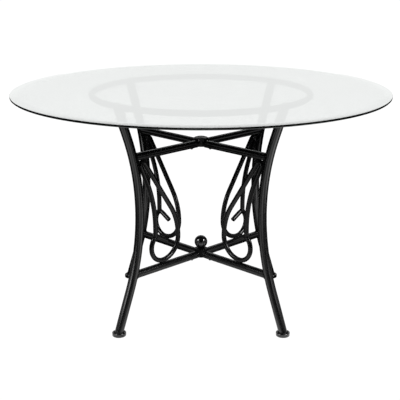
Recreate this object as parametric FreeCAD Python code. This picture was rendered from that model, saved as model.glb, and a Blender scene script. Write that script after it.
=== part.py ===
"""Round dining table: a bevelled glass top lying on a scrolled tubular steel base."""
import FreeCAD
import Part
import math
import os

# Lengths are in millimetres and angles in degrees. The floor is at zero height and +Z is up.

# Overall height and glass top
table_height = 752.0
glass_diameter = 1219.2
glass_thickness = 10.0
bevel_width = 25.0
bevel_drop = 2.9
edge_arris = 2.0

# Ring under the glass and the bumpers on it
ring_radius = 352.5
ring_tube_diameter = 19.0
ring_wall = 1.5
bumper_diameter = 18.0
bumper_height = 2.45
bumper_round = 0.8

# Bolts that hold the ring down on the legs
bush_diameter = 14.0
ring_bolt_diameter = 6.0
ring_bolt_head_diameter = 12.0
ring_bolt_head_height = 3.0
ring_bolt_grip = 9.0
leg_plug_height = 12.0
ring_saddle_depth = 4.0

# Legs: a straight foot run, a bend to the waist, a bend out again and a straight top run
leg_tube_diameter = 28.6
leg_wall = 1.5
leg_waist_radius = 273.0
leg_waist_height = 392.0
leg_foot_run = 132.0
leg_top_run = 97.0

# Feet and glides
foot_spread_radius = 369.3
foot_diameter = 45.0
foot_height = 12.4
foot_top_round = 2.0
foot_bottom_round = 3.0
glide_diameter = 28.0
glide_height = 1.5
glide_round = 0.5
glide_stem_diameter = 6.0
glide_stem_length = 7.0

# Stretchers from the legs to the two hubs
stretcher_diameter = 25.4
stretcher_wall = 1.5
upper_stretcher_height = 573.0
lower_stretcher_height = 188.2

# Hubs with a spigot for each stretcher, and the screws under the stretchers
hub_diameter = 45.0
hub_crown = 10.0
hub_dome_rise = 4.5
hub_base_rise = 3.0
hub_top_round = 2.0
hub_bottom_round = 2.0
spigot_length = 36.0
hub_screw_place_share = 0.57
hub_screw_diameter = 5.0
hub_screw_length = 14.0
hub_screw_head_diameter = 9.0
hub_screw_head_height = 2.8
hub_screw_head_round = 1.2

# Ball finial on the lower hub
finial_diameter = 43.8
finial_centre_rise = 18.7
stud_diameter = 8.0
stud_reach = 12.0

# Scrolls: one bar each, bent in the plane of its leg
scroll_bar_diameter = 16.0
scroll_belly_radius = 70.0
scroll_back_radius = 184.0
scroll_climb_angle = 56.2
scroll_hairpin_radius = 9.0
scroll_strand_lean_angle = 24.0
scroll_strand_foot = 30.0
scroll_strand_offset = 6.5
volute_radius = 48.0
volute_turn_angle = 127.0
crest_radius = 19.0
crest_turn_angle = 83.0
hook_length = 39.0
hook_round = 1.5

# Clearances, and the overrun of every cut
weld_gap = 0.1
fit_gap = 0.05
hole_gap = 0.25
rest_gap = 0.05
cut_overrun = 5.0

# Directions of the legs about the table's axis, in order from the first
first_leg_angle = 45.0
leg_corners = ["back_right", "back_left", "front_left", "front_right"]
leg_angles = [first_leg_angle + i * 360 / len(leg_corners) for i in range(len(leg_corners))]

# Radii and heights that follow from the sizes above
glass_radius = glass_diameter / 2
glass_underside = table_height - glass_thickness
ring_tube_radius = ring_tube_diameter / 2
ring_top = glass_underside - rest_gap - bumper_height
ring_height = ring_top - ring_tube_radius
ring_bottom = ring_height - ring_tube_radius
leg_tube_radius = leg_tube_diameter / 2
leg_bore_radius = leg_tube_radius - leg_wall
foot_top = glide_height + foot_height
stretcher_radius = stretcher_diameter / 2
stretcher_bore_radius = stretcher_radius - stretcher_wall
hub_radius = hub_diameter / 2
hub_dome_radius = (hub_radius ** 2 + hub_dome_rise ** 2) / (2 * hub_dome_rise)
hub_screw_place = hub_radius + spigot_length * hub_screw_place_share
lower_hub_top = lower_stretcher_height + stretcher_radius + hub_crown
scroll_bar_radius = scroll_bar_diameter / 2

up = FreeCAD.Vector(0, 0, 1)
origin = FreeCAD.Vector(0, 0, 0)


def in_plane(point):
    """A radius and a height as a place in the plane of a leg, drawn along +X."""
    return FreeCAD.Vector(point[0], 0, point[1])


def bend_end(point, heading, radius, turn):
    """End point and centre of a bend: a turn above zero bends to the left of the heading."""
    side = math.copysign(radius, turn)
    start = math.radians(heading)
    end = math.radians(heading + turn)
    centre = (point[0] - side * math.sin(start), point[1] + side * math.cos(start))
    return (centre[0] + side * math.sin(end), centre[1] - side * math.cos(end)), centre


def bent_bar(point, heading, steps, radius):
    """A round bar through straight runs (length,) and tangent bends (radius, turn), and its end."""
    pieces = []
    for step in steps:
        angle = math.radians(heading)
        along = FreeCAD.Vector(math.cos(angle), 0, math.sin(angle))
        if len(step) == 1:
            pieces.append(Part.makeCylinder(radius, step[0], in_plane(point), along))
            point = (point[0] + step[0] * along.x, point[1] + step[0] * along.z)
        else:
            section = Part.Face(Part.Wire(Part.makeCircle(radius, in_plane(point), along)))
            end, centre = bend_end(point, heading, step[0], step[1])
            pieces.append(section.revolve(in_plane(centre), FreeCAD.Vector(0, -1, 0), step[1]))
            point = end
            heading = heading + step[1]
    bar = pieces[0]
    if len(pieces) > 1:
        bar = pieces[0].multiFuse(pieces[1:])
    return bar, point


def turned_disc(radius, low, high, low_round, high_round):
    """A disc about the Z axis whose lower and upper rims are rounded."""
    diagonal = math.sqrt(0.5)
    low_mid = (radius - low_round * (1 - diagonal), low + low_round * (1 - diagonal))
    high_mid = (radius - high_round * (1 - diagonal), high - high_round * (1 - diagonal))
    corners = [in_plane(p) for p in (
        (0, low), (radius - low_round, low), low_mid, (radius, low + low_round),
        (radius, high - high_round), high_mid, (radius - high_round, high), (0, high))]
    outline = Part.Wire([
        Part.makeLine(corners[0], corners[1]),
        Part.Arc(corners[1], corners[2], corners[3]).toShape(),
        Part.makeLine(corners[3], corners[4]),
        Part.Arc(corners[4], corners[5], corners[6]).toShape(),
        Part.makeLine(corners[6], corners[7]),
        Part.makeLine(corners[7], corners[0])])
    return Part.Face(outline).revolve(origin, up, 360)


def post(radius, low, high, distance):
    """An upright cylinder in the plane of a leg, at a distance from the table's axis."""
    return Part.makeCylinder(radius, high - low, FreeCAD.Vector(distance, 0, low), up)


def arm(radius, start, end, height):
    """A level cylinder in the plane of a leg, from one distance to another."""
    return Part.makeCylinder(radius, end - start, FreeCAD.Vector(start, 0, height), FreeCAD.Vector(1, 0, 0))


def slab(low, high):
    """A level layer wide enough to trim any leg."""
    side = 2 * glass_diameter
    return Part.makeBox(side, side, high - low, FreeCAD.Vector(-side / 2, -side / 2, low))


def turned_to(shape, angle):
    """A copy of a shape, turned about the table's axis to its own leg."""
    copy = shape.copy()
    copy.rotate(origin, up, angle)
    return copy


# Legs

def leg_bend(run, end_radius, end_height):
    """Bend radius that joins a straight run, ending at a given place, to the upright waist."""
    out = end_radius - leg_waist_radius
    rise = end_height - leg_waist_height
    return (out ** 2 + rise ** 2 - run ** 2) / (2 * out)


def leg_lean(bend, run, end_radius, end_height):
    """Lean from upright of the straight run at one end of a leg."""
    across = leg_waist_radius + bend - end_radius
    rise = abs(leg_waist_height - end_height)
    return math.degrees(math.atan2(rise, across) + math.atan2(bend, run)) - 90


leg_low_bend = leg_bend(leg_foot_run, foot_spread_radius, foot_top)
leg_high_bend = leg_bend(leg_top_run, ring_radius, ring_height)
leg_low_lean = leg_lean(leg_low_bend, leg_foot_run, foot_spread_radius, foot_top)
leg_high_lean = leg_lean(leg_high_bend, leg_top_run, ring_radius, ring_height)


def leg_line_radius(height, clearance):
    """Distance from the table's axis to a line that keeps a clearance inside a leg's centre line."""
    bend = leg_high_bend if height > leg_waist_height else leg_low_bend
    lean = math.radians(leg_high_lean if height > leg_waist_height else leg_low_lean)
    rise = abs(height - leg_waist_height)
    line_bend = bend + clearance
    bend_rise = line_bend * math.sin(lean)
    if rise > bend_rise:
        return leg_waist_radius + bend - line_bend * math.cos(lean) + (rise - bend_rise) * math.tan(lean)
    return leg_waist_radius + bend - math.sqrt(line_bend ** 2 - rise ** 2)


def leg_bar(radius):
    """A solid bar along a leg's centre line, run on past both ends so that it can be trimmed."""
    spare = leg_tube_diameter
    lean = math.radians(leg_low_lean)
    start = (foot_spread_radius + spare * math.sin(lean), foot_top - spare * math.cos(lean))
    steps = [(leg_foot_run + spare,), (leg_low_bend, -leg_low_lean),
             (leg_high_bend, -leg_high_lean), (leg_top_run + spare,)]
    return bent_bar(start, 90 + leg_low_lean, steps, radius)[0]


def make_leg():
    """A bent tube, cut level on its foot and notched at the top for the ring."""
    leg = leg_bar(leg_tube_radius).cut(leg_bar(leg_bore_radius))
    leg = leg.common(slab(foot_top, ring_bottom + ring_saddle_depth))
    return leg.cut(Part.makeTorus(ring_radius, ring_tube_radius + weld_gap, up * ring_height))


def make_leg_plug():
    """A plug welded into a leg's upper end, drilled for the ring bolt."""
    low = ring_bottom - leg_plug_height
    plug = leg_bar(leg_bore_radius - fit_gap).common(slab(low, ring_bottom - fit_gap))
    hole_radius = ring_bolt_diameter / 2 + fit_gap
    return plug.cut(post(hole_radius, low - cut_overrun, ring_bottom + cut_overrun, ring_radius))


# Feet

def make_foot():
    """A flat round steel foot with a blind hole below for its glide."""
    foot = turned_disc(foot_diameter / 2, glide_height, foot_top, foot_bottom_round, foot_top_round)
    stem_hole = post(glide_stem_diameter / 2 + fit_gap, 0, glide_height + glide_stem_length + fit_gap, 0)
    foot = foot.cut(stem_hole)
    foot.translate(FreeCAD.Vector(foot_spread_radius, 0, 0))
    return foot


def make_glide():
    """A nylon pad under the foot, with a stem pressed into it."""
    pad = turned_disc(glide_diameter / 2, 0, glide_height - fit_gap, glide_round, glide_round / 2)
    glide = pad.fuse(post(glide_stem_diameter / 2, glide_height / 2, glide_height + glide_stem_length, 0))
    glide.translate(FreeCAD.Vector(foot_spread_radius, 0, 0))
    return glide


# Stretchers and hubs

def make_stretcher(height):
    """A tube from hub to leg, hollowed to fit both, with a screw hole in its underside."""
    end = leg_line_radius(height, 0)
    tube = arm(stretcher_radius, 0, end, height).cut(arm(stretcher_bore_radius, -cut_overrun, end, height))
    tube = tube.cut(leg_bar(leg_tube_radius + weld_gap))
    tube = tube.cut(post(hub_radius + weld_gap, height - hub_diameter, height + hub_diameter, 0))
    hole_radius = hub_screw_diameter / 2 + hole_gap
    return tube.cut(post(hole_radius, height - stretcher_diameter, height, hub_screw_place))


def hub_screw_top(height):
    """Height of a hub screw's tip inside its spigot."""
    return height - stretcher_radius + hub_screw_length


def hub_dome(high, margin):
    """The ball whose upper side is the crown of a hub of a given height."""
    return Part.makeSphere(hub_dome_radius + margin, up * (high - hub_dome_radius))


def make_hub(height):
    """A turned boss with a domed crown and a drilled spigot for each stretcher."""
    underside = height - stretcher_radius
    high = height + stretcher_radius + hub_crown
    hub = turned_disc(hub_radius, underside + hub_base_rise, high, hub_bottom_round, fit_gap)
    hub = hub.common(hub_dome(high, 0))
    shoulder = up * (high - hub_dome_rise)
    rim = [edge for edge in hub.Edges if edge.CenterOfMass.isEqual(shoulder, fit_gap)]
    hub = hub.makeFillet(hub_top_round, rim)
    spigot = arm(stretcher_bore_radius - fit_gap, 0, hub_radius + spigot_length, height)
    hole_top = hub_screw_top(height) + fit_gap
    spigot = spigot.cut(post(hub_screw_diameter / 2 + fit_gap, underside, hole_top, hub_screw_place))
    return hub.multiFuse([turned_to(spigot, angle) for angle in leg_angles])


def make_hub_screw(height):
    """A round-headed screw that goes up through a stretcher into its spigot."""
    seat = height - stretcher_radius
    low = seat - hub_screw_head_height
    head = turned_disc(hub_screw_head_diameter / 2, low, seat, hub_screw_head_round, fit_gap)
    screw = head.fuse(post(hub_screw_diameter / 2, (low + seat) / 2, hub_screw_top(height), 0))
    screw.translate(FreeCAD.Vector(hub_screw_place, 0, 0))
    return screw


# Finial

def make_lower_hub():
    """The lower hub, drilled in its crown for the finial's stud."""
    low = lower_hub_top - stud_reach - fit_gap
    hole = post(stud_diameter / 2 + fit_gap, low, lower_hub_top + cut_overrun, 0)
    return make_hub(lower_stretcher_height).cut(hole)


def make_finial_ball():
    """A ball hollowed where it sits on the hub's crown and drilled for its stud."""
    centre = up * (lower_hub_top + finial_centre_rise)
    ball = Part.makeSphere(finial_diameter / 2, centre).cut(hub_dome(lower_hub_top, fit_gap))
    high = lower_hub_top + stud_reach + fit_gap
    return ball.cut(post(stud_diameter / 2 + fit_gap, lower_hub_top - cut_overrun, high, 0))


def make_finial_stud():
    """A threaded stud that holds the ball on the lower hub."""
    return post(stud_diameter / 2, lower_hub_top - stud_reach, lower_hub_top + stud_reach, 0)


# Scrolls

def scroll_steps():
    """Seat of a scroll on its lower stretcher, the way out to its hook and the way in round its belly."""
    climb = math.radians(scroll_climb_angle)
    lean = math.radians(scroll_strand_lean_angle)
    seat_height = lower_stretcher_height + stretcher_radius + weld_gap + scroll_bar_radius
    apex = upper_stretcher_height - stretcher_radius - weld_gap - scroll_bar_radius
    out = [(volute_radius, volute_turn_angle), (crest_radius, crest_turn_angle), (hook_length,)]
    belly = [(scroll_belly_radius, -90), (scroll_back_radius, scroll_climb_angle - 90)]

    # The long run reaches just under the upper stretcher.
    back_rise = scroll_belly_radius + scroll_back_radius * math.cos(climb)
    hairpin_rise = scroll_hairpin_radius * (1 - math.cos(climb))
    long_run = (apex - hairpin_rise - seat_height - back_rise) / math.sin(climb)

    # The hairpin lies against the leg, which sets how far out the scroll stands.
    back_out = scroll_back_radius * (1 - math.sin(climb)) - scroll_belly_radius
    hairpin_out = back_out + long_run * math.cos(climb) + scroll_hairpin_radius * math.sin(climb)
    hairpin_height = apex - scroll_hairpin_radius
    clearance = leg_tube_radius + weld_gap + scroll_bar_radius + scroll_hairpin_radius
    seat = (leg_line_radius(hairpin_height, clearance) - hairpin_out, seat_height)

    # The strand comes back down and stands on the crest of the volute.
    hairpin_end = (seat[0] + hairpin_out + scroll_hairpin_radius * math.cos(lean),
                   hairpin_height - scroll_hairpin_radius * math.sin(lean))
    volute_end = bend_end(seat, 0, volute_radius, volute_turn_angle)[0]
    crest = bend_end(volute_end, volute_turn_angle, crest_radius, 180 - volute_turn_angle)[0]
    shift = hairpin_end[0] - crest[0] - scroll_strand_offset
    drop = hairpin_end[1] - crest[1] - scroll_strand_foot
    strand_bend = (drop * math.sin(lean) - shift * math.cos(lean)) / (1 - math.cos(lean))
    strand_run = (drop - strand_bend * math.sin(lean)) / math.cos(lean)
    hairpin_turn = -(scroll_climb_angle + 90 + scroll_strand_lean_angle)
    strand = [(long_run,), (scroll_hairpin_radius, hairpin_turn), (strand_run,),
              (strand_bend, scroll_strand_lean_angle), (scroll_strand_foot,)]
    return seat, out, belly + strand


def make_scroll():
    """One bent bar whose strand stands, hollowed at its end, on its own volute."""
    seat, out, inward = scroll_steps()
    volute, tip = bent_bar(seat, 0, out, scroll_bar_radius)
    tip_edges = [edge for edge in volute.Edges if edge.CenterOfMass.isEqual(in_plane(tip), fit_gap)]
    volute = volute.makeFillet(hook_round, tip_edges)
    strand = bent_bar(seat, 180, inward, scroll_bar_radius)[0]
    strand = strand.cut(bent_bar(seat, 0, out, scroll_bar_radius + weld_gap)[0])
    return volute.fuse(strand)


# Ring and its bolts

def make_top_ring():
    """A tube bent to a closed ring, drilled through for the four bushes."""
    ring = Part.makeTorus(ring_radius, ring_tube_radius, up * ring_height)
    ring = ring.cut(Part.makeTorus(ring_radius, ring_tube_radius - ring_wall, up * ring_height))
    hole = post(bush_diameter / 2 + fit_gap, ring_bottom - cut_overrun, ring_top + cut_overrun, ring_radius)
    for angle in leg_angles:
        ring = ring.cut(turned_to(hole, angle))
    return ring


def ring_bolt_shape(shank_radius, head_radius, low):
    """Shank and countersunk head of a ring bolt, its head flush with the ring's top."""
    head_low = ring_top - ring_bolt_head_height
    place = FreeCAD.Vector(ring_radius, 0, head_low)
    head = Part.makeCone(shank_radius, head_radius, ring_bolt_head_height, place, up)
    return post(shank_radius, low, ring_top - ring_bolt_head_height / 2, ring_radius).fuse(head)


def make_ring_bolt():
    """A countersunk bolt down through bush and ring into the leg's plug."""
    return ring_bolt_shape(ring_bolt_diameter / 2, ring_bolt_head_diameter / 2, ring_bottom - ring_bolt_grip)


def make_ring_bush():
    """A spacer through the ring's tube, countersunk for the bolt."""
    bush = post(bush_diameter / 2, ring_bottom, ring_top, ring_radius)
    shank = ring_bolt_diameter / 2 + fit_gap
    return bush.cut(ring_bolt_shape(shank, ring_bolt_head_diameter / 2 + fit_gap, ring_bottom - cut_overrun))


def make_bumper():
    """A clear pad on the bush, under the glass."""
    bumper = turned_disc(bumper_diameter / 2, ring_top, ring_top + bumper_height, fit_gap, bumper_round)
    bumper.translate(FreeCAD.Vector(ring_radius, 0, 0))
    return bumper


def make_glass_top():
    """A round pane with a wide polished bevel above and a fine arris below."""
    outline = Part.makePolygon([in_plane(p) for p in (
        (0, glass_underside), (glass_radius - edge_arris, glass_underside),
        (glass_radius, glass_underside + edge_arris), (glass_radius, table_height - bevel_drop),
        (glass_radius - bevel_width, table_height), (0, table_height), (0, glass_underside))])
    return Part.Face(outline).revolve(origin, up, 360)


def save(node, shape):
    """Writes one named piece."""
    shape.exportStep("parts/" + node + ".step")


def save_group(node, shape):
    """Writes four like fasteners, one at each leg, as one group."""
    save(node, Part.makeCompound([turned_to(shape, angle) for angle in leg_angles]))


os.makedirs("parts", exist_ok=True)

# Pieces that repeat at each leg
at_each_leg = {
    "leg": make_leg(),
    "foot": make_foot(),
    "glide": make_glide(),
    "upper_stretcher": make_stretcher(upper_stretcher_height),
    "lower_stretcher": make_stretcher(lower_stretcher_height),
    "scroll": make_scroll(),
    "bumper": make_bumper(),
}
for piece, shape in at_each_leg.items():
    for corner, angle in zip(leg_corners, leg_angles):
        save(piece + "_" + corner, turned_to(shape, angle))

# Fasteners in groups of four
save_group("leg_top_plugs", make_leg_plug())
save_group("ring_bushes", make_ring_bush())
save_group("ring_bolts", make_ring_bolt())
save_group("upper_hub_screws", make_hub_screw(upper_stretcher_height))
save_group("lower_hub_screws", make_hub_screw(lower_stretcher_height))

# Single pieces on the table's axis
save("upper_hub", make_hub(upper_stretcher_height))
save("lower_hub", make_lower_hub())
save("finial_ball", make_finial_ball())
save("finial_stud", make_finial_stud())
save("top_ring", make_top_ring())
save("glass_top", make_glass_top())
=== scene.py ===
"""Looks of a round dining table: a bevelled glass top on a satin black scrolled steel base."""

import math

import bmesh
import bpy
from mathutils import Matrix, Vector


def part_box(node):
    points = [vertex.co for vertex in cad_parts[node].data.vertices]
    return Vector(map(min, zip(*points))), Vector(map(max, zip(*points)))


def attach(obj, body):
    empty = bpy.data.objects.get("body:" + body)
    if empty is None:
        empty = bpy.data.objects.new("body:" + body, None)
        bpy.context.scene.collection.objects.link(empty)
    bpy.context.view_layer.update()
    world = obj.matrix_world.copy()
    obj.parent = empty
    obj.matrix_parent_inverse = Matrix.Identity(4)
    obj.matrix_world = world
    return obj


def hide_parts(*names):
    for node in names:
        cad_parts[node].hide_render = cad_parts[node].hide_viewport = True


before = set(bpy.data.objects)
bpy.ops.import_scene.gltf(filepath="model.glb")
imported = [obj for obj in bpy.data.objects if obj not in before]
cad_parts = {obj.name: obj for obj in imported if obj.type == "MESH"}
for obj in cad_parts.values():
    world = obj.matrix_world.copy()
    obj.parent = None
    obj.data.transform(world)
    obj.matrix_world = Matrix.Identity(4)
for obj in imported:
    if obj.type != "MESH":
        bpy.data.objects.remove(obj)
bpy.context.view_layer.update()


# Legs. Four round steel tubes, each bent to one long waisted curve on a roller, then welded into a
# panel with two stretchers and a scroll and powder coated satin black. The coat leaves a fine, even
# orange peel with faint changes of sheen, and no bare metal shows.
leg_tube_radius = 0.0143
leg_waist_radius, leg_waist_height, leg_bend_radius = 0.2730, 0.3920, 0.6995
corner_angles = {"back_right": 45.0, "back_left": 135.0, "front_left": 225.0, "front_right": 315.0}
coat_dark, coat_light = (0.0016, 0.0016, 0.0017, 1), (0.0034, 0.0034, 0.0036, 1)
peel_scale, cloud_scale, grit_scale = 900.0, 38.0, 2400.0
peel_detail, cloud_detail, cloud_low, cloud_high = 3.0, 4.0, 0.3, 0.7
grit_share, bump_strength, coat_bump = 0.25, 0.35, 0.00004


def new_grain(name, dark, light, sheen, scale):
    """A node group for a finish, from its two tones, its range of sheen and the scale of its grain."""
    group = bpy.data.node_groups.new(name, "ShaderNodeTree")
    for label, kind, value in (("Dark", "NodeSocketColor", dark), ("Light", "NodeSocketColor", light),
                               ("Sheen Low", "NodeSocketFloat", sheen[0]),
                               ("Sheen High", "NodeSocketFloat", sheen[1]),
                               (scale[0], "NodeSocketFloat", scale[1])):
        socket = group.interface.new_socket(name=label, in_out="INPUT", socket_type=kind)
        socket.default_value = value
    for label, kind in (("Colour", "NodeSocketColor"), ("Roughness", "NodeSocketFloat"),
                        ("Height", "NodeSocketFloat")):
        group.interface.new_socket(name=label, in_out="OUTPUT", socket_type=kind)
    return group, group.nodes.new("NodeGroupInput"), group.nodes.new("NodeGroupOutput")


def tone_and_sheen(group, given, put, change, low, high):
    """Colour and roughness that go from one end to the other as a pattern changes between two levels."""
    nodes, links = group.nodes, group.links
    tone = nodes.new("ShaderNodeMix")
    tone.data_type = "RGBA"
    links.new(change, tone.inputs["Factor"])
    links.new(given.outputs["Dark"], tone.inputs["A"])
    links.new(given.outputs["Light"], tone.inputs["B"])
    links.new(tone.outputs["Result"], put.inputs["Colour"])
    sheen = nodes.new("ShaderNodeMapRange")
    links.new(change, sheen.inputs["Value"])
    sheen.inputs["From Min"].default_value = low
    sheen.inputs["From Max"].default_value = high
    links.new(given.outputs["Sheen Low"], sheen.inputs["To Min"])
    links.new(given.outputs["Sheen High"], sheen.inputs["To Max"])
    links.new(sheen.outputs["Result"], put.inputs["Roughness"])


def make_coat_grain():
    """Powder coat: orange peel, finer grit and slow cloudy changes of colour and sheen."""
    group, given, put = new_grain("powder_coat_grain", coat_dark, coat_light, (0.17, 0.22),
                                  ("Peel Scale", peel_scale))
    nodes, links = group.nodes, group.links
    place = nodes.new("ShaderNodeTexCoord")
    peel = nodes.new("ShaderNodeTexNoise")
    peel.inputs["Detail"].default_value = peel_detail
    links.new(place.outputs["Object"], peel.inputs["Vector"])
    links.new(given.outputs["Peel Scale"], peel.inputs["Scale"])
    cloud = nodes.new("ShaderNodeTexNoise")
    cloud.inputs["Scale"].default_value = cloud_scale
    cloud.inputs["Detail"].default_value = cloud_detail
    links.new(place.outputs["Object"], cloud.inputs["Vector"])
    grit = nodes.new("ShaderNodeTexVoronoi")
    grit.inputs["Scale"].default_value = grit_scale
    links.new(place.outputs["Object"], grit.inputs["Vector"])
    tone_and_sheen(group, given, put, cloud.outputs["Fac"], cloud_low, cloud_high)
    height = nodes.new("ShaderNodeMath")
    height.operation = "MULTIPLY_ADD"
    links.new(grit.outputs["Distance"], height.inputs[0])
    height.inputs[1].default_value = grit_share
    links.new(peel.outputs["Fac"], height.inputs[2])
    links.new(height.outputs["Value"], put.inputs["Height"])
    return group


def grained_material(name, group, values, bump_distance):
    """A Principled material whose colour, roughness and bump come from one of the grain groups."""
    material = bpy.data.materials.new(name)
    material.use_nodes = True
    nodes, links = material.node_tree.nodes, material.node_tree.links
    shader = nodes["Principled BSDF"]
    grain = nodes.new("ShaderNodeGroup")
    grain.node_tree = group
    for label, value in values.items():
        grain.inputs[label].default_value = value
    bump = nodes.new("ShaderNodeBump")
    bump.inputs["Strength"].default_value = bump_strength
    bump.inputs["Distance"].default_value = bump_distance
    links.new(grain.outputs["Colour"], shader.inputs["Base Color"])
    links.new(grain.outputs["Roughness"], shader.inputs["Roughness"])
    links.new(grain.outputs["Height"], bump.inputs["Height"])
    links.new(bump.outputs["Normal"], shader.inputs["Normal"])
    return material, shader


def dress(material, *names):
    """Gives CAD nodes their finish."""
    for name in names:
        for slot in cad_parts[name].material_slots:
            slot.material = material


def at_each_corner(piece):
    """The four nodes of a piece that repeats at each leg."""
    return [piece + "_" + corner for corner in corner_angles]


coat_grain = make_coat_grain()
black_coat = grained_material("satin_black_powder_coat", coat_grain, {}, coat_bump)[0]
dress(black_coat, *at_each_corner("leg"))


# Feet. A flat round steel disc under each leg, its rims turned round, welded to the leg's slanted end
# with a bead that flares out over the disc, then coated with the leg. The weld takes a copy of the coat
# with its reflection turned down, painted shade that darkens it and dims its glints.
foot_low, foot_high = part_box("foot_back_right")
foot_spread_radius = math.hypot(foot_low[0] + foot_high[0], foot_low[1] + foot_high[1]) / 2
foot_top = foot_high[2]
foot_lean = math.radians(21.8)
foot_weld_thick, foot_weld_stand, foot_weld_rise, foot_weld_steps = 0.0021, 0.0007, 0.0006, 72
bead_sides, bead_guide = 10, Vector((0.31, 0.17, 0.93))
ripple_share, ripple_step, swell_share, swell_step = 0.06, 2.1, 0.05, 0.7
bead_end_share, bead_end_power = 0.04, 6
# The reflection level of the welds' and the lower hub's coat, turned down: painted shade.
weld_bump, shade_dimmed_gloss = 0.00005, 0.08


def new_piece(name, shape):
    """An object in the scene made from a bmesh, which is freed."""
    mesh = bpy.data.meshes.new(name)
    shape.to_mesh(mesh)
    shape.free()
    piece = bpy.data.objects.new(name, mesh)
    bpy.context.scene.collection.objects.link(piece)
    return piece


def weld_bead(name, points, closed, thick, angle):
    """A run of weld laid along points given as (out, across, up), rippled as the pool cooled."""
    shape = bmesh.new()
    turn = math.radians(angle)
    track = [Vector(point) for point in points]
    count = len(track)
    rings = []
    for i, here in enumerate(track):
        if closed:
            along = track[(i + 1) % count] - track[i - 1]
        else:
            along = track[min(i + 1, count - 1)] - track[max(i - 1, 0)]
        along.normalize()
        side = along.cross(bead_guide).normalized()
        rise = side.cross(along)
        ripple = 1 + ripple_share * math.sin(i * ripple_step) + swell_share * math.sin(i * swell_step)
        if not closed:
            ripple *= math.sqrt(max(bead_end_share, 1 - abs(2 * i / (count - 1) - 1) ** bead_end_power))
        ring = []
        for k in range(bead_sides):
            a = 2 * math.pi * k / bead_sides
            spot = here + (side * math.cos(a) + rise * math.sin(a)) * thick * ripple
            ring.append(shape.verts.new((spot.x * math.cos(turn) - spot.y * math.sin(turn),
                                         spot.x * math.sin(turn) + spot.y * math.cos(turn), spot.z)))
        rings.append(ring)
    for i in range(count if closed else count - 1):
        a, b = rings[i], rings[(i + 1) % count]
        for k in range(bead_sides):
            n = (k + 1) % bead_sides
            shape.faces.new((a[k], a[n], b[n], b[k]))
    if not closed:
        shape.faces.new(rings[0])
        shape.faces.new(rings[-1])
    for face in shape.faces:
        face.smooth = True
    bmesh.ops.recalc_face_normals(shape, faces=shape.faces)
    bead = new_piece(name, shape)
    # Every weld takes the copy of the coat with its reflection turned down: painted shade.
    bead.data.materials.append(shade_dimmed_coat)
    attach(bead, "base")


def ring_of(count, place):
    """Places at even steps round a closed bead."""
    return [place(2 * math.pi * i / count) for i in range(count)]


# A copy of the coat with its reflection turned down, for the welds and the lower hub: painted shade.
shade_dimmed_coat, shade_dimmed_shader = grained_material("shade_dimmed_black_powder_coat", coat_grain, {
    "Sheen Low": 0.30, "Sheen High": 0.36}, weld_bump)
shade_dimmed_shader.inputs["Specular IOR Level"].default_value = shade_dimmed_gloss
dress(black_coat, *at_each_corner("foot"))
foot_weld = ring_of(foot_weld_steps, lambda a: (
    foot_spread_radius + (leg_tube_radius / math.cos(foot_lean) + foot_weld_stand) * math.cos(a),
    (leg_tube_radius + foot_weld_stand) * math.sin(a), foot_top + foot_weld_rise))
for corner, angle in corner_angles.items():
    weld_bead("foot_weld_" + corner, foot_weld, True, foot_weld_thick, angle)


# Glides. A thin grey nylon pad pressed into the underside of each foot, which keeps the steel off the
# floor.
nylon_dark, nylon_light = (0.24, 0.24, 0.23, 1), (0.34, 0.34, 0.33, 1)
pit_scale, nylon_bump = 1500.0, 0.00005


def make_nylon_grain():
    """Moulded nylon: a fine even pitting and a faint change of tone."""
    group, given, put = new_grain("moulded_nylon_grain", nylon_dark, nylon_light, (0.5, 0.65),
                                  ("Pit Scale", pit_scale))
    nodes, links = group.nodes, group.links
    place = nodes.new("ShaderNodeTexCoord")
    pits = nodes.new("ShaderNodeTexNoise")
    links.new(place.outputs["Object"], pits.inputs["Vector"])
    links.new(given.outputs["Pit Scale"], pits.inputs["Scale"])
    tone_and_sheen(group, given, put, pits.outputs["Fac"], 0.0, 1.0)
    links.new(pits.outputs["Fac"], put.inputs["Height"])
    return group


nylon_grain = make_nylon_grain()
glide_nylon = grained_material("grey_nylon", nylon_grain, {}, nylon_bump)[0]
dress(glide_nylon, *at_each_corner("glide"))


# Stretchers. Straight steel tubes, hollowed at the ends to fit leg and hub. Each is welded all round to
# its leg and slides over a spigot of the hub.
stretcher_weld_thick, stretcher_weld_steps = 0.0018, 64
stretcher_weld_stand, leg_weld_stand = 0.0006, 0.0004


def stretcher_size(level):
    """Radius and height of the stretchers of one level."""
    low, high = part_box(level + "_stretcher_back_right")
    return (high[2] - low[2]) / 2, (high[2] + low[2]) / 2


def leg_axis(height):
    """Distance out and slope of a leg's centre line at a height."""
    rise = height - leg_waist_height
    flat = math.sqrt(leg_bend_radius ** 2 - rise ** 2)
    return leg_waist_radius + leg_bend_radius - flat, rise / flat


def stretcher_weld(radius, height):
    """Places round a stretcher where it meets the leg."""
    def place(a):
        across = (radius + stretcher_weld_stand) * math.sin(a)
        up = height + (radius + stretcher_weld_stand) * math.cos(a)
        out, slope = leg_axis(up)
        inward = math.sqrt((leg_tube_radius + leg_weld_stand) ** 2 - across ** 2) * math.hypot(1, slope)
        return out - inward, across, up
    return ring_of(stretcher_weld_steps, place)


for level in ("upper", "lower"):
    dress(black_coat, *at_each_corner(level + "_stretcher"))
    end_weld = stretcher_weld(*stretcher_size(level))
    for corner, angle in corner_angles.items():
        weld_bead(level + "_stretcher_weld_" + corner, end_weld, True, stretcher_weld_thick, angle)
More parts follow.
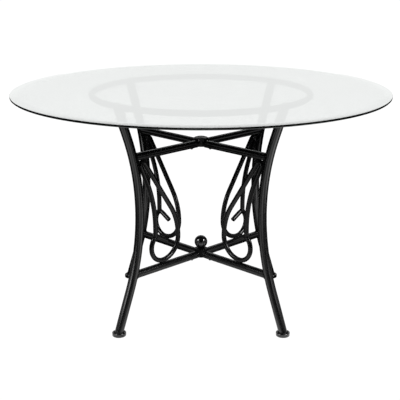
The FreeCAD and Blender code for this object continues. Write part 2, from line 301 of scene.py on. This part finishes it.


# Scrolls. One solid steel bar each, bent cold round formers: a hook, a volute, a long belly and a tight
# hairpin whose strand is welded on the volute's crest. Short welds hold it to both stretchers and the leg
# and fill the nook between them. Its coat is a copy of the tubes' coat with the reflection turned down,
# painted shade that makes the scrolls darker than the tubes.
scroll_bar_radius = 0.008
scroll_seat_out = 0.1771
hairpin_out, hairpin_height, hairpin_radius = 0.2574, 0.5432, 0.009
crest_out, crest_height, crest_radius = 0.2003, 0.2745, 0.019
strand_out = 0.2068
# The scrolls' coat reflects less than the tubes': painted shade that darkens them.
bar_bump, shade_dimmed_bar_gloss = 0.00005, 0.24
tack_thick, tack_side, tack_steps = 0.0022, 0.005, 12
seat_weld_reach, top_weld_reach, leg_weld_reach = 0.009, 0.005, 0.005
seat_weld_rise, top_weld_drop, leg_weld_sink = 0.0003, 0.0004, 0.0003
strand_weld_thick, strand_weld_stand, strand_weld_steps = 0.0016, 0.0004, 48
nook_out, nook_height, nook_reach, nook_thick = 0.2742, 0.5561, 0.006, 0.0045


def tack_run(reach):
    """Even steps along a short weld, to the same reach both ways from its middle."""
    return [reach * (2 * i / tack_steps - 1) for i in range(tack_steps + 1)]


def tack_pair(name, centre, along, reach, angle):
    """Two short welds, one each side of a bar that lies on a tube; centre and along are (out, up)."""
    for side, sign in (("a", -1), ("b", 1)):
        points = [(centre[0] + along[0] * s, sign * tack_side, centre[1] + along[1] * s)
                  for s in tack_run(reach)]
        weld_bead(name + "_" + side, points, False, tack_thick, angle)


def strand_weld(a):
    """Place on the weld round the strand's foot, where it stands on the volute's crest."""
    out = strand_out - crest_out + (scroll_bar_radius + strand_weld_stand) * math.cos(a)
    across = (scroll_bar_radius + strand_weld_stand) * math.sin(a)
    reach = crest_radius + math.sqrt(max(0.0, scroll_bar_radius ** 2 - across ** 2))
    return crest_out + out, across, crest_height + math.sqrt(reach ** 2 - out ** 2)


# The scrolls' coat, a copy of the tubes' coat with its reflection turned down: painted shade.
shade_dimmed_bar_coat, shade_dimmed_bar_shader = grained_material("shade_dimmed_bar_powder_coat", coat_grain, {
    "Sheen Low": 0.21, "Sheen High": 0.27}, bar_bump)
shade_dimmed_bar_shader.inputs["Specular IOR Level"].default_value = shade_dimmed_bar_gloss
dress(shade_dimmed_bar_coat, *at_each_corner("scroll"))
seat_touch = (scroll_seat_out, sum(stretcher_size("lower")) + seat_weld_rise)
top_touch = (hairpin_out, stretcher_size("upper")[1] - stretcher_size("upper")[0] - top_weld_drop)
leg_slope = (hairpin_height - leg_waist_height) / (leg_waist_radius + leg_bend_radius - hairpin_out)
leg_way = Vector((1.0, -leg_slope)).normalized()
leg_touch = Vector((hairpin_out, hairpin_height))
leg_touch += leg_way * (hairpin_radius + scroll_bar_radius - leg_weld_sink)
nook_weld = [(nook_out, across, nook_height) for across in tack_run(nook_reach)]
for corner, angle in corner_angles.items():
    tack_pair("scroll_seat_weld_" + corner, seat_touch, (1, 0), seat_weld_reach, angle)
    tack_pair("scroll_top_weld_" + corner, top_touch, (1, 0), top_weld_reach, angle)
    tack_pair("scroll_leg_weld_" + corner, leg_touch, (-leg_way[1], leg_way[0]), leg_weld_reach, angle)
    weld_bead("scroll_nook_weld_" + corner, nook_weld, False, nook_thick, angle)
    weld_bead("scroll_strand_weld_" + corner, ring_of(strand_weld_steps, strand_weld), True,
              strand_weld_thick, angle)


# Hubs. Two turned steel bosses with a slightly domed crown, each with a spigot for every stretcher. A
# stretcher slides over its spigot and a screw from below draws it tight. The upper boss is coated like
# the tubes. The lower one, under the ball, takes a copy of the coat with its reflection turned down:
# painted shade for the shade among the ball and the crossing stretchers.
dress(black_coat, "upper_hub")
dress(shade_dimmed_coat, "lower_hub")


# Hub screws. A button-headed steel screw with a hexagon socket under each stretcher, blackened in a hot
# bath and oiled, so that it is a little duller than the coat.
screw_out = 0.0430
screw_head_radius, screw_head_height = 0.0045, 0.0028
screw_shank_radius, screw_shank_length = 0.0025, 0.0140
screw_tip_inset, screw_tip_drop, screw_neck_rise = 0.0004, 0.0005, 0.0002
head_seat_inset, head_edge_drop = 0.0002, 0.0003
head_dome_steps, head_dome_angle = 7, 9.0
socket_half_width, socket_depth, socket_rim_share = 0.0015, 0.0015, 1.35
screw_sides, screw_sharp_angle = 24, 40.0
oxide_dark, oxide_light = (0.006, 0.006, 0.006, 1), (0.014, 0.014, 0.013, 1)
oxide_scale, oxide_bump = 2600.0, 0.00003


def make_hub_screws(level):
    """Four screws turned as rings of points, whose inmost rings make the six flats of the socket."""
    radius, height = stretcher_size(level)
    seat = height - radius
    lathe = [(screw_shank_radius - screw_tip_inset, screw_shank_length),
             (screw_shank_radius, screw_shank_length - screw_tip_drop),
             (screw_shank_radius, screw_neck_rise),
             (screw_head_radius - head_seat_inset, 0.0), (screw_head_radius, -head_edge_drop)]
    dome_height = screw_head_height - head_edge_drop
    for step in range(1, head_dome_steps + 1):
        a = math.radians(step * head_dome_angle)
        lathe.append((screw_head_radius * math.cos(a), -head_edge_drop - dome_height * math.sin(a)))
    lathe.append((socket_rim_share * socket_half_width, -screw_head_height))
    socket = [-screw_head_height, socket_depth - screw_head_height]
    shape = bmesh.new()
    for angle in corner_angles.values():
        turn = math.radians(angle)
        middle = Vector((screw_out * math.cos(turn), screw_out * math.sin(turn), seat))
        rings = []
        for reach, rise in lathe + [(None, depth) for depth in socket]:
            ring = []
            for k in range(screw_sides):
                a = 2 * math.pi * k / screw_sides
                flat = socket_half_width / math.cos(a % (math.pi / 3) - math.pi / 6)
                r = flat if reach is None else reach
                ring.append(shape.verts.new(middle + Vector((r * math.cos(a), r * math.sin(a), rise))))
            rings.append(ring)
        for a, b in zip(rings, rings[1:]):
            for k in range(screw_sides):
                n = (k + 1) % screw_sides
                shape.faces.new((a[k], a[n], b[n], b[k])).smooth = True
        shape.faces.new(rings[0])
        shape.faces.new(rings[-1])
    bmesh.ops.recalc_face_normals(shape, faces=shape.faces)
    screws = new_piece(level + "_button_screws", shape)
    screws.data.set_sharp_from_angle(angle=math.radians(screw_sharp_angle))
    screws.data.materials.append(black_oxide)
    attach(screws, "base")
    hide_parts(level + "_hub_screws")


black_oxide = grained_material("black_oxide_steel", coat_grain, {
    "Dark": oxide_dark, "Light": oxide_light, "Sheen Low": 0.28, "Sheen High": 0.4,
    "Peel Scale": oxide_scale}, oxide_bump)[0]
for level in ("upper", "lower"):
    make_hub_screws(level)


# Finial. A turned steel ball, hollowed where it sits on the lower hub's crown and held by a hidden stud.
# Its coat lies smoother than on the bent tubes, so the lamps show in it as two small bright spots.
zinc_dark, zinc_light = (0.46, 0.46, 0.47, 1), (0.62, 0.62, 0.61, 1)
line_scale, line_waver, bloom_scale, zinc_bump = 1200.0, 1.5, 220.0, 0.00003
ball_peel_scale, ball_bump, ball_gloss = 600.0, 0.00003, 0.75


def make_plating_grain():
    """Zinc plating: bright metal with fine lines along the turning and a slightly uneven bloom."""
    group, given, put = new_grain("zinc_plating_grain", zinc_dark, zinc_light, (0.28, 0.42),
                                  ("Line Scale", line_scale))
    nodes, links = group.nodes, group.links
    place = nodes.new("ShaderNodeTexCoord")
    lines = nodes.new("ShaderNodeTexWave")
    lines.bands_direction = "Z"
    lines.inputs["Distortion"].default_value = line_waver
    links.new(place.outputs["Object"], lines.inputs["Vector"])
    links.new(given.outputs["Line Scale"], lines.inputs["Scale"])
    bloom = nodes.new("ShaderNodeTexNoise")
    bloom.inputs["Scale"].default_value = bloom_scale
    links.new(place.outputs["Object"], bloom.inputs["Vector"])
    tone_and_sheen(group, given, put, bloom.outputs["Fac"], 0.0, 1.0)
    links.new(lines.outputs["Fac"], put.inputs["Height"])
    return group


plating_grain = make_plating_grain()
plated_steel, plated_shader = grained_material("zinc_plated_steel", plating_grain, {}, zinc_bump)
plated_shader.inputs["Metallic"].default_value = 1.0
ball_coat, ball_shader = grained_material("smooth_black_powder_coat", coat_grain, {
    "Sheen Low": 0.15, "Sheen High": 0.19, "Peel Scale": ball_peel_scale}, ball_bump)
ball_shader.inputs["Specular IOR Level"].default_value = ball_gloss
dress(ball_coat, "finial_ball")
dress(plated_steel, "finial_stud")


# Ring. A steel tube bent to a closed ring and coated like the legs. It lies in the notched leg tops and
# is held by a countersunk bolt through a bush into a plug in each leg.
dress(black_coat, "top_ring")
dress(plated_steel, "ring_bushes", "ring_bolts", "leg_top_plugs")


# Bumpers. Soft clear vinyl pads over the bolts, which carry the glass and keep it from sliding.
vinyl_dark, vinyl_light = (0.74, 0.77, 0.76, 1), (0.86, 0.88, 0.87, 1)
vinyl_scale, vinyl_bump, vinyl_clear, vinyl_bend = 300.0, 0.00003, 0.6, 1.5
vinyl, vinyl_shader = grained_material("clear_soft_vinyl", nylon_grain, {
    "Dark": vinyl_dark, "Light": vinyl_light, "Sheen Low": 0.18, "Sheen High": 0.3,
    "Pit Scale": vinyl_scale}, vinyl_bump)
vinyl_shader.inputs["Transmission Weight"].default_value = vinyl_clear
vinyl_shader.inputs["IOR"].default_value = vinyl_bend
dress(vinyl, *at_each_corner("bumper"))


# Glass top. A round pane of clear float glass with a wide polished bevel above, lying loose on the
# bumpers. Seen flat it mirrors the pale room and hides what is under it; its rim is dark green.
pane_low, pane_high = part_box("glass_top")
pane_radius = 0.6096
pane_bottom, pane_top = pane_low[2], pane_high[2]
bevel_width, bevel_drop, arris = 0.025, 0.0029, 0.0020
bevel_lip_drop, bevel_lip_inset = 0.0004, 0.0003
pane_sides, pane_middle_radius = 288, 0.30
flat_zone, bevel_zone, rim_zone = 0, 1, 2
glass_colour, smear_share, smear_scale, glass_bend = (0.975, 0.995, 0.985), 0.985, 6.0, 1.5
rim_dark, rim_light, rim_scale, rim_sheen = (0.004, 0.008, 0.006, 1), (0.010, 0.018, 0.013, 1), 14.0, 0.12


def make_pane():
    """The pane as a turned shape with separate faces for flats, bevel and rim."""
    bevel_foot = pane_top - bevel_drop
    profile = [(pane_middle_radius, pane_bottom), (pane_radius - arris, pane_bottom),
               (pane_radius, pane_bottom + arris), (pane_radius, bevel_foot - bevel_lip_drop),
               (pane_radius - bevel_lip_inset, bevel_foot), (pane_radius - bevel_width, pane_top),
               (pane_middle_radius, pane_top)]
    zones = [flat_zone, rim_zone, rim_zone, rim_zone, bevel_zone, flat_zone]
    shape = bmesh.new()
    rings = []
    for radius, height in profile:
        rings.append([shape.verts.new((radius * math.cos(2 * math.pi * k / pane_sides),
                                       radius * math.sin(2 * math.pi * k / pane_sides), height))
                      for k in range(pane_sides)])
    for i, zone in enumerate(zones):
        for k in range(pane_sides):
            n = (k + 1) % pane_sides
            face = shape.faces.new((rings[i][k], rings[i][n], rings[i + 1][n], rings[i + 1][k]))
            face.material_index = zone
            face.smooth = True
    shape.faces.new(list(reversed(rings[0])))
    shape.faces.new(rings[-1])
    for edge in shape.edges:
        if len(edge.link_faces) == 2:
            a, b = edge.link_faces
            edge.smooth = a.material_index == b.material_index
    bmesh.ops.recalc_face_normals(shape, faces=shape.faces)
    return new_piece("glass_pane", shape)


def make_glass(name, flat_share, steep, grazing):
    """Clear glass that mirrors the room as it is seen flatter, by angles for the bevel's two rims."""
    material = bpy.data.materials.new(name)
    material.use_nodes = True
    nodes, links = material.node_tree.nodes, material.node_tree.links
    clear = nodes["Principled BSDF"]
    clear.inputs["Transmission Weight"].default_value = 1.0
    clear.inputs["IOR"].default_value = glass_bend
    clear.inputs["Roughness"].default_value = 0.0
    place = nodes.new("ShaderNodeTexCoord")
    smear = nodes.new("ShaderNodeTexNoise")
    smear.inputs["Scale"].default_value = smear_scale
    links.new(place.outputs["Object"], smear.inputs["Vector"])
    tint = nodes.new("ShaderNodeMix")
    tint.data_type = "RGBA"
    links.new(smear.outputs["Fac"], tint.inputs["Factor"])
    tint.inputs["A"].default_value = (*glass_colour, 1)
    tint.inputs["B"].default_value = (*[c * smear_share for c in glass_colour], 1)
    links.new(tint.outputs["Result"], clear.inputs["Base Color"])
    mirror = nodes.new("ShaderNodeBsdfGlossy")
    mirror.inputs["Roughness"].default_value = 0.0
    links.new(tint.outputs["Result"], mirror.inputs["Color"])
    level = nodes.new("ShaderNodeVectorMath")
    level.operation = "MULTIPLY"
    links.new(place.outputs["Object"], level.inputs[0])
    level.inputs[1].default_value = (1, 1, 0)
    out = nodes.new("ShaderNodeVectorMath")
    out.operation = "LENGTH"
    links.new(level.outputs["Vector"], out.inputs[0])
    angle = nodes.new("ShaderNodeLayerWeight")
    angle.inputs["Blend"].default_value = 0.5
    share = nodes.new("ShaderNodeMapRange")
    links.new(angle.outputs["Facing"], share.inputs["Value"])
    for label, (inner, outer) in (("From Min", steep), ("From Max", grazing)):
        limit = nodes.new("ShaderNodeMapRange")
        links.new(out.outputs["Value"], limit.inputs["Value"])
        limit.inputs["From Min"].default_value = pane_radius - bevel_width
        limit.inputs["From Max"].default_value = pane_radius
        limit.inputs["To Min"].default_value = inner
        limit.inputs["To Max"].default_value = outer
        links.new(limit.outputs["Result"], share.inputs[label])
    share.inputs["To Min"].default_value = 0.0
    share.inputs["To Max"].default_value = flat_share
    both = nodes.new("ShaderNodeMixShader")
    links.new(share.outputs["Result"], both.inputs["Fac"])
    links.new(clear.outputs["BSDF"], both.inputs[1])
    links.new(mirror.outputs["BSDF"], both.inputs[2])
    links.new(both.outputs["Shader"], nodes["Material Output"].inputs["Surface"])
    return material


def make_rim_glass():
    """The pane's edge, where the glass is looked through lengthwise and its green is near black."""
    material = bpy.data.materials.new("green_glass_rim")
    material.use_nodes = True
    nodes, links = material.node_tree.nodes, material.node_tree.links
    shader = nodes["Principled BSDF"]
    place = nodes.new("ShaderNodeTexCoord")
    bands = nodes.new("ShaderNodeTexNoise")
    bands.inputs["Scale"].default_value = rim_scale
    links.new(place.outputs["Object"], bands.inputs["Vector"])
    tone = nodes.new("ShaderNodeMix")
    tone.data_type = "RGBA"
    links.new(bands.outputs["Fac"], tone.inputs["Factor"])
    tone.inputs["A"].default_value = rim_dark
    tone.inputs["B"].default_value = rim_light
    links.new(tone.outputs["Result"], shader.inputs["Base Color"])
    shader.inputs["Roughness"].default_value = rim_sheen
    return material


pane = make_pane()
pane.data.materials.append(make_glass("clear_float_glass", 0.78, (0.55, 0.55), (0.80, 0.80)))
pane.data.materials.append(make_glass("polished_bevel_glass", 0.90, (0.40, 0.56), (0.69, 0.81)))
pane.data.materials.append(make_rim_glass())
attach(pane, "glass")
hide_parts("glass_top")


# Floor, light and camera. A pale seamless studio: a white floor and backdrop, two soft boxes high in
# front, upright soft panels low at the sides, and lit pools of floor round the table. Mirror-smooth glass
# sees white walls all round; the satin steel sees the lamps, the pools, a backdrop and lit sides.
floor_half_side = 60.0
white_seen, white_mirrored = 1.05, 0.915
floor_pools = (((-0.66, -0.66, 0.0), (0.70, 0.52, 1.0), 1.5),
               ((0.66, -0.66, 0.0), (0.70, 0.52, 1.0), 1.8),
               ((0.95, -0.55, 0.0), (0.45, 0.45, 1.0), 2.0),
               ((0.0, -1.22, 0.0), (0.70, 0.52, 1.0), 1.6),
               ((-0.30, -0.28, 0.0), (0.32, 0.35, 1.0), 1.4),
               ((0.30, -0.28, 0.0), (0.32, 0.35, 1.0), 1.85),
               ((0.0, -0.36, 0.0), (0.26, 0.20, 1.0), 1.5),
               ((0.0, -1.70, 0.0), (1.15, 0.50, 1.0), 1.6),
               ((0.0, 0.0, 0.0), (0.35, 0.35, 1.0), 0.5),
               ((-0.72, -0.10, 0.0), (0.42, 0.30, 1.0), 0.7),
               ((0.72, -0.10, 0.0), (0.42, 0.30, 1.0), 0.7),
               ((-0.70, 0.74, 0.0), (0.60, 0.45, 1.0), 0.6),
               ((0.70, 0.74, 0.0), (0.60, 0.45, 1.0), 0.6),
               ((0.0, 1.60, 0.0), (1.30, 0.60, 1.0), 0.9))
floor_dim, wall_dim = 0.004, 0.004
backdrop_bright, backdrop_rise, backdrop_turn = 1.2, (0.15, 0.40), (0.55, 0.95)
side_bright, side_rise, side_turn = 0.6, (0.10, 0.42), (0.85, 0.98)
box_place, box_aim, box_side = (1.44, -0.85, 1.67), (0, 0, 0.23), 1.0
panel_place, panel_aim, panel_wide, panel_tall = (0.90, -0.88, 0.3925), (0, 0, 0.3925), 0.42, 0.215
lamp_bright = (("left", -1, 20.0, 5.8), ("right", 1, 32.0, 1.8))
film_width, lens_length = 36.0, 82.94
camera_place, camera_dip = (-0.0032, -2.9687, 1.2394), 0.2829


def smooth_step(nodes, links, value, source, result):
    """A value that eases from one level to another."""
    node = nodes.new("ShaderNodeMapRange")
    node.interpolation_type = "SMOOTHSTEP"
    links.new(value, node.inputs["Value"])
    for label, number in zip(("From Min", "From Max", "To Min", "To Max"), source + result):
        node.inputs[label].default_value = number
    return node.outputs["Result"]


def glass_sight(nodes, links):
    """Masks for rays that see a white studio: the camera's, through glass too, and those off glass."""
    def maths(operation, one, other):
        node = nodes.new("ShaderNodeMath")
        node.operation = operation
        for socket, value in zip(node.inputs, (one, other)):
            if isinstance(value, float):
                socket.default_value = value
            else:
                links.new(value, socket)
        return node.outputs["Value"]

    path = nodes.new("ShaderNodeLightPath").outputs
    no_mirror = maths("LESS_THAN", path["Glossy Depth"], 0.5)
    one_mirror = maths("LESS_THAN", path["Glossy Depth"], 1.5)
    through = maths("MULTIPLY", path["Is Transmission Ray"], no_mirror)
    mirrored = maths("MULTIPLY", path["Is Singular Ray"], path["Is Reflection Ray"])
    return maths("MAXIMUM", path["Is Camera Ray"], through), maths("MULTIPLY", mirrored, one_mirror)


def make_floor():
    """A floor that looks white, and that the steel mirrors as dim pools which fade out at the walls."""
    material = bpy.data.materials.new("pale_studio_floor")
    material.use_nodes = True
    nodes, links = material.node_tree.nodes, material.node_tree.links
    nodes.remove(nodes["Principled BSDF"])
    white = nodes.new("ShaderNodeEmission")
    white.inputs["Strength"].default_value = white_seen
    place = nodes.new("ShaderNodeTexCoord")
    dim = nodes.new("ShaderNodeEmission")
    light = nodes.new("ShaderNodeValue").outputs["Value"]
    light.default_value = floor_dim
    for centre, reach, bright in floor_pools:
        spread = nodes.new("ShaderNodeMapping")
        spread.vector_type = "TEXTURE"
        spread.inputs["Location"].default_value = centre
        spread.inputs["Scale"].default_value = reach
        links.new(place.outputs["Object"], spread.inputs["Vector"])
        out = nodes.new("ShaderNodeVectorMath")
        out.operation = "LENGTH"
        links.new(spread.outputs["Vector"], out.inputs[0])
        pool = smooth_step(nodes, links, out.outputs["Value"], (0.0, 1.0), (bright, 0.0))
        total = nodes.new("ShaderNodeMath")
        links.new(light, total.inputs[0])
        links.new(pool, total.inputs[1])
        light = total.outputs["Value"]
    links.new(light, dim.inputs["Strength"])
    seen = nodes.new("ShaderNodeMath")
    seen.operation = "MAXIMUM"
    for socket, mask in zip(seen.inputs, glass_sight(nodes, links)):
        links.new(mask, socket)
    both = nodes.new("ShaderNodeMixShader")
    links.new(seen.outputs["Value"], both.inputs["Fac"])
    links.new(dim.outputs["Emission"], both.inputs[1])
    links.new(white.outputs["Emission"], both.inputs[2])
    links.new(both.outputs["Shader"], nodes["Material Output"].inputs["Surface"])
    shape = bmesh.new()
    bmesh.ops.create_grid(shape, x_segments=1, y_segments=1, size=floor_half_side)
    floor = new_piece("studio_floor", shape)
    floor.data.materials.append(material)


def make_walls():
    """White walls; the steel mirrors a backdrop high behind, a band low at each side and a dark room."""
    world = bpy.data.worlds.new("studio_walls")
    world.use_nodes = True
    nodes, links = world.node_tree.nodes, world.node_tree.links
    place = nodes.new("ShaderNodeTexCoord")
    split = nodes.new("ShaderNodeSeparateXYZ")
    links.new(place.outputs["Generated"], split.inputs["Vector"])
    side = nodes.new("ShaderNodeMath")
    side.operation = "ABSOLUTE"
    links.new(split.outputs["X"], side.inputs[0])
    high = smooth_step(nodes, links, split.outputs["Z"], backdrop_rise, (0.0, backdrop_bright))
    behind = smooth_step(nodes, links, split.outputs["Y"], backdrop_turn, (0.0, 1.0))
    beside = smooth_step(nodes, links, side.outputs["Value"], side_turn, (0.0, side_bright))
    low = smooth_step(nodes, links, split.outputs["Z"], side_rise, (1.0, 0.0))
    bright = nodes.new("ShaderNodeValue").outputs["Value"]
    bright.default_value = wall_dim
    for one, other in ((high, behind), (beside, low)):
        total = nodes.new("ShaderNodeMath")
        total.operation = "MULTIPLY_ADD"
        for socket, value in zip(total.inputs, (one, other, bright)):
            links.new(value, socket)
        bright = total.outputs["Value"]
    for mask, white in zip(glass_sight(nodes, links), (white_seen, white_mirrored)):
        tone = nodes.new("ShaderNodeMix")
        links.new(mask, tone.inputs["Factor"])
        links.new(bright, tone.inputs["A"])
        tone.inputs["B"].default_value = white
        bright = tone.outputs["Result"]
    links.new(bright, nodes["Background"].inputs["Strength"])
    nodes["Background"].inputs["Color"].default_value = (1, 1, 1, 1)
    bpy.context.scene.world = world


def soft_light(name, place, aim, wide, tall, radiance):
    """A soft box or panel, given by how bright its face is, which the glass does not mirror."""
    lamp = bpy.data.lights.new(name, "AREA")
    lamp.shape = "RECTANGLE"
    lamp.size, lamp.size_y = wide, tall
    lamp.energy = radiance * math.pi * wide * tall
    light = bpy.data.objects.new(name, lamp)
    light.location = place
    light.rotation_euler = (Vector(aim) - Vector(place)).to_track_quat("-Z", "Y").to_euler()
    light.visible_camera = False
    light.visible_transmission = False
    bpy.context.scene.collection.objects.link(light)
    light.light_linking.receiver_collection = unlit


make_floor()
make_walls()
unlit = bpy.data.collections.new("not_mirroring_lamps")
unlit.objects.link(pane)
unlit.collection_objects[0].light_linking.link_state = "EXCLUDE"
for side, sign, box, panel in lamp_bright:
    box_spot, panel_spot = ((sign * spot[0], *spot[1:]) for spot in (box_place, panel_place))
    soft_light(side + "_soft_box", box_spot, box_aim, box_side, box_side, box)
    soft_light(side + "_panel", panel_spot, panel_aim, panel_wide, panel_tall, panel)

lens = bpy.data.cameras.new("photo_camera")
lens.sensor_fit = "HORIZONTAL"
lens.sensor_width = film_width
lens.lens = lens_length
camera = bpy.data.objects.new("photo_camera", lens)
camera.location = camera_place
camera.rotation_euler = (math.pi / 2 - camera_dip, 0, 0)
bpy.context.scene.collection.objects.link(camera)
bpy.context.scene.camera = camera
bpy.context.scene.view_settings.view_transform = "Standard"
